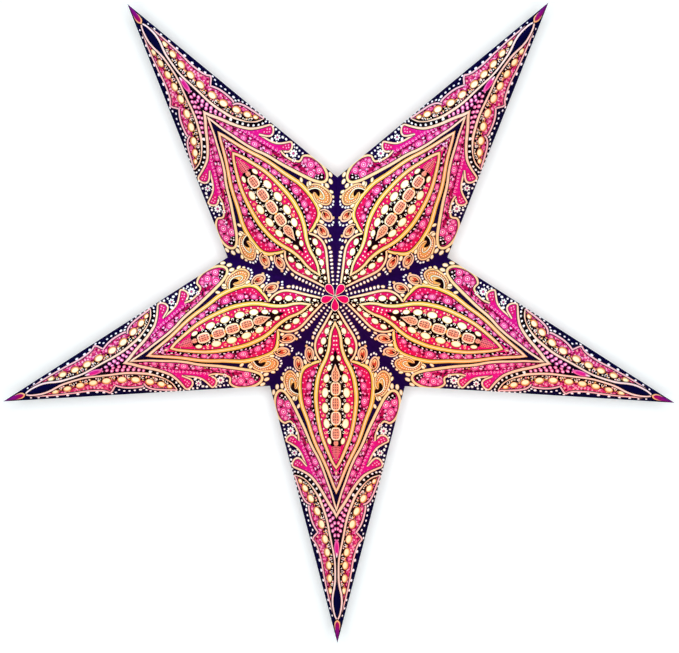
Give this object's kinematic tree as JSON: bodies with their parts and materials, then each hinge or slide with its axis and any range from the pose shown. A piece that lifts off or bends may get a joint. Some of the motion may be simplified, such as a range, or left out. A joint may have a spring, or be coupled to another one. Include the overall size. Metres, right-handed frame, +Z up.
{
  "type": "paper star lantern",
  "caption": "Hollow star lantern of folded printed paper: slender four-sided points glued along valley folds, with a cord hole in the top seam to hang a lamp inside.",
  "frame": {"origin": "the star's middle, halfway between its front and back poles, on the plane of its tips", "axes": "+X to the right and +Z up as seen from the front; the front faces -Y; the star hangs with one point straight down along -Z"},
  "size_m": [0.5992, 0.2, 0.5698],
  "materials": {
    "printed_paper": "satin"
  },
  "bodies": {
    "root": {"top_left_point": "printed_paper", "top_right_point": "printed_paper", "right_point": "printed_paper", "bottom_point": "printed_paper", "left_point": "printed_paper"}
  },
  "joints": []
}
